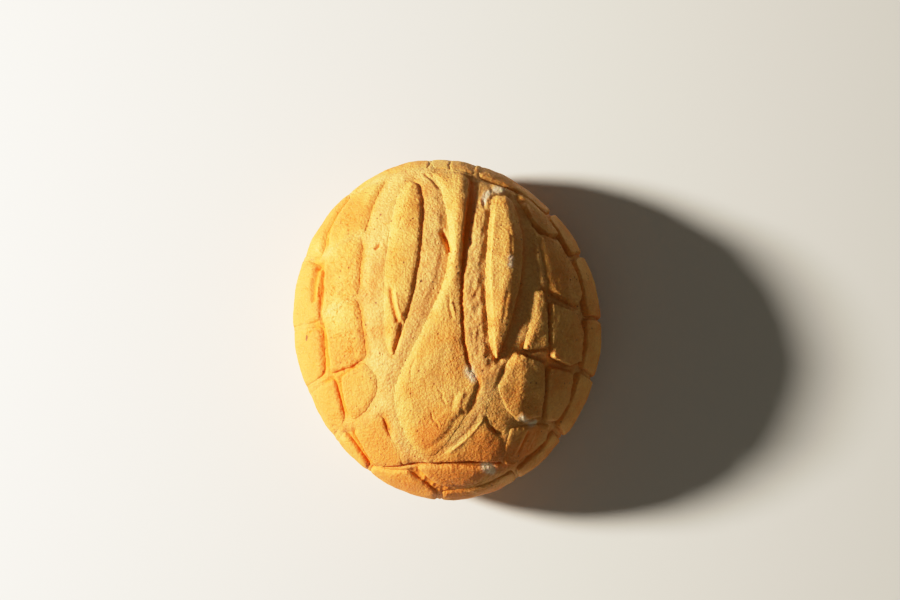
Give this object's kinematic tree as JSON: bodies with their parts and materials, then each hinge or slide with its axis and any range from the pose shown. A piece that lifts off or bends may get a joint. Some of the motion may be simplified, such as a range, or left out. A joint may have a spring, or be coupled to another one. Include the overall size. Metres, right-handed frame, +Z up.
{
  "type": "concha",
  "caption": "Domed sweet bun with a flat foot, its crown covered in separate raised plates of baked sugar paste around a leaf-and-bell motif.",
  "frame": {"origin": "centre of the flat foot of the bun, on the surface it stands on", "axes": "+Z up through the crown, +Y along the bun's length towards the head of the central motif, +X towards its right side"},
  "size_m": [0.1148, 0.1274, 0.0578],
  "materials": {
    "dough": "matte, baked, pale gold",
    "paste": "matte, baked, golden, dry and sandy"
  },
  "bodies": {
    "root": {"bun": "dough", "centre_plate": "paste", "leaf_1": "paste", "leaf_2": "paste", "left_block_1": "paste", "left_block_2": "paste", "left_block_3": "paste", "left_block_4": "paste", "right_block_1": "paste", "right_block_2": "paste", "right_block_3": "paste", "right_block_4": "paste", "right_block_5": "paste", "right_block_6": "paste", "right_block_7": "paste", "right_block_8": "paste", "front_block_1": "paste", "front_block_2": "paste", "front_block_3": "paste", "rim_block_1": "paste", "rim_block_2": "paste", "rim_block_3": "paste", "rim_block_4": "paste", "rim_block_5": "paste", "rim_block_6": "paste", "rim_block_7": "paste", "rim_block_8": "paste", "rim_block_9": "paste", "rim_block_10": "paste", "rim_block_11": "paste", "rim_block_12": "paste", "rim_block_13": "paste", "rim_block_14": "paste", "rim_block_15": "paste"}
  },
  "joints": []
}
